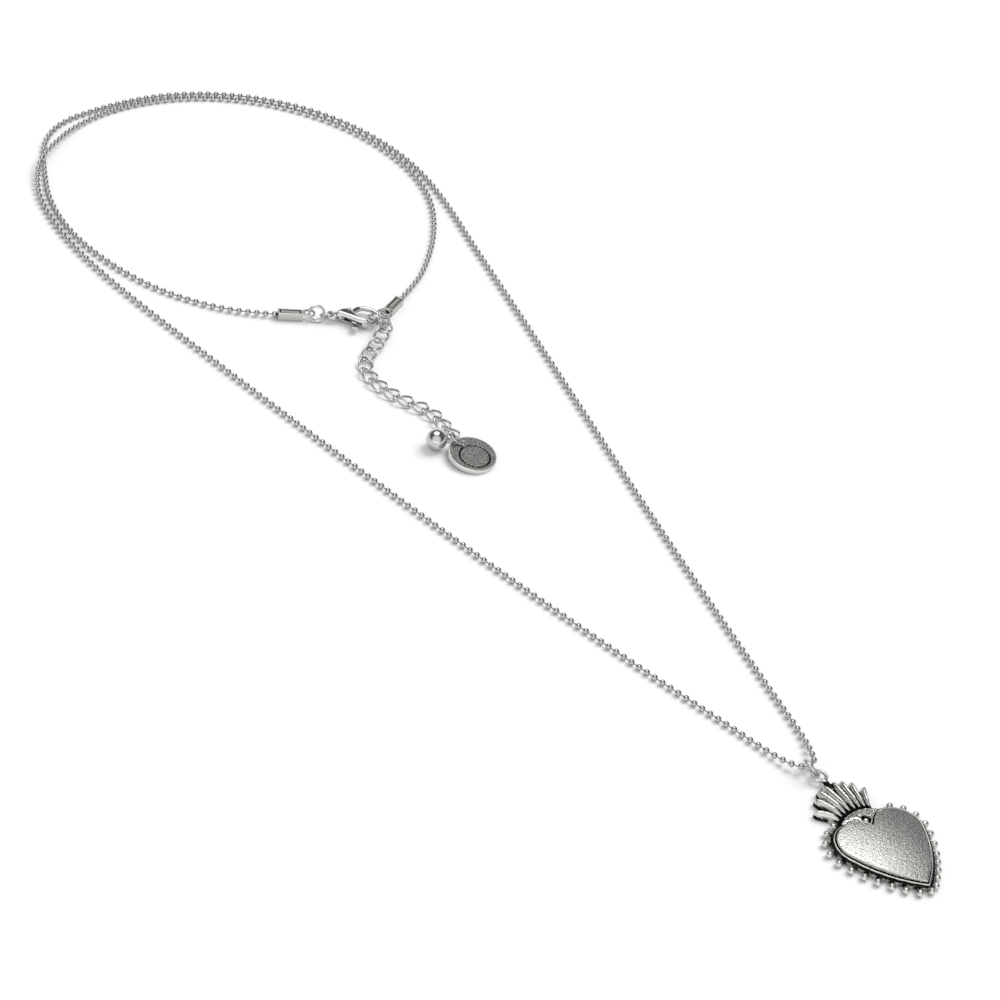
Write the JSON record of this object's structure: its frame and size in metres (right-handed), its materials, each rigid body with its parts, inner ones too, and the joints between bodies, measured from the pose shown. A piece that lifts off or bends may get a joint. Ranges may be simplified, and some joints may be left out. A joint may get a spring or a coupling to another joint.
{
  "type": "pendant necklace",
  "caption": "Cast heart pendant with pearled border and flame crown on a long ball chain, closed by a lobster clasp with an extension chain, a ball charm and a round tag",
  "frame": {"origin": "on the flat back of the heart, at the middle of its width and 11 mm above its lower tip", "axes": "+X to the heart's right seen from the front, +Y from the tip towards the hanging eye, +Z out of the heart's front"},
  "size_m": [0.1022, 0.3197, 0.0049],
  "materials": {
    "antique_silver": "oxidised casting with a brushed raised face",
    "bead_plating": "bright plated beads on thin pins",
    "bright_plating": "polished bright plating",
    "matte_plating": "dull folded sheet",
    "textured_tag": "grained face with a bright edge"
  },
  "bodies": {
    "necklace": {"clasp_jump_ring": "bright_plating", "clasp_link": "bright_plating", "end_ring": "bright_plating", "end_link": "bright_plating", "charm_ring": "bright_plating", "clasp_body": "bright_plating", "clasp_rivet": "bright_plating", "extender_link_01": "bright_plating", "extender_link_02": "bright_plating", "extender_link_03": "bright_plating", "extender_link_04": "bright_plating", "extender_link_05": "bright_plating", "extender_link_06": "bright_plating", "extender_link_07": "bright_plating", "extender_link_08": "bright_plating", "extender_link_09": "bright_plating", "extender_link_10": "bright_plating", "extender_link_11": "bright_plating", "extender_link_12": "bright_plating", "extender_link_13": "bright_plating", "ball_chain": "bead_plating", "crimp_end_left": "matte_plating", "crimp_end_right": "matte_plating"},
    "lever": {"clasp_lever": "bright_plating"},
    "hanging_ring": {"pendant_jump_ring": "bright_plating"},
    "heart": {"heart_casting": "antique_silver"},
    "ball": {"ball_charm": "bright_plating"},
    "tag": {"tag_disc": "textured_tag"}
  },
  "joints": [
    {"name": "lever_open", "type": "hinge", "parent": "necklace", "child": "lever", "pos_m": [-0.00174, 0.20222, 0.0015], "axis": [0, 0, -1], "range_deg": [0, 25], "stiffness_Nm_per_rad": 0.003},
    {"name": "ring_swing", "type": "hinge", "parent": "necklace", "child": "hanging_ring", "pos_m": [-0.00054, 0.02649, 0.00209], "axis": [-1, 0, 0], "range_deg": [0, 40]},
    {"name": "heart_swing", "type": "hinge", "parent": "hanging_ring", "child": "heart", "pos_m": [0, 0.025, 0.0014], "axis": [-1, 0, 0], "range_deg": [-10, 15]},
    {"name": "ball_swing", "type": "hinge", "parent": "necklace", "child": "ball", "pos_m": [-0.00734, 0.14918, 0.00356], "axis": [0, 0, 1], "range_deg": [-12, 12]},
    {"name": "tag_swing", "type": "hinge", "parent": "necklace", "child": "tag", "pos_m": [-0.00606, 0.14774, 0.00138], "axis": [0, 0, 1], "range_deg": [-12, 12]}
  ]
}
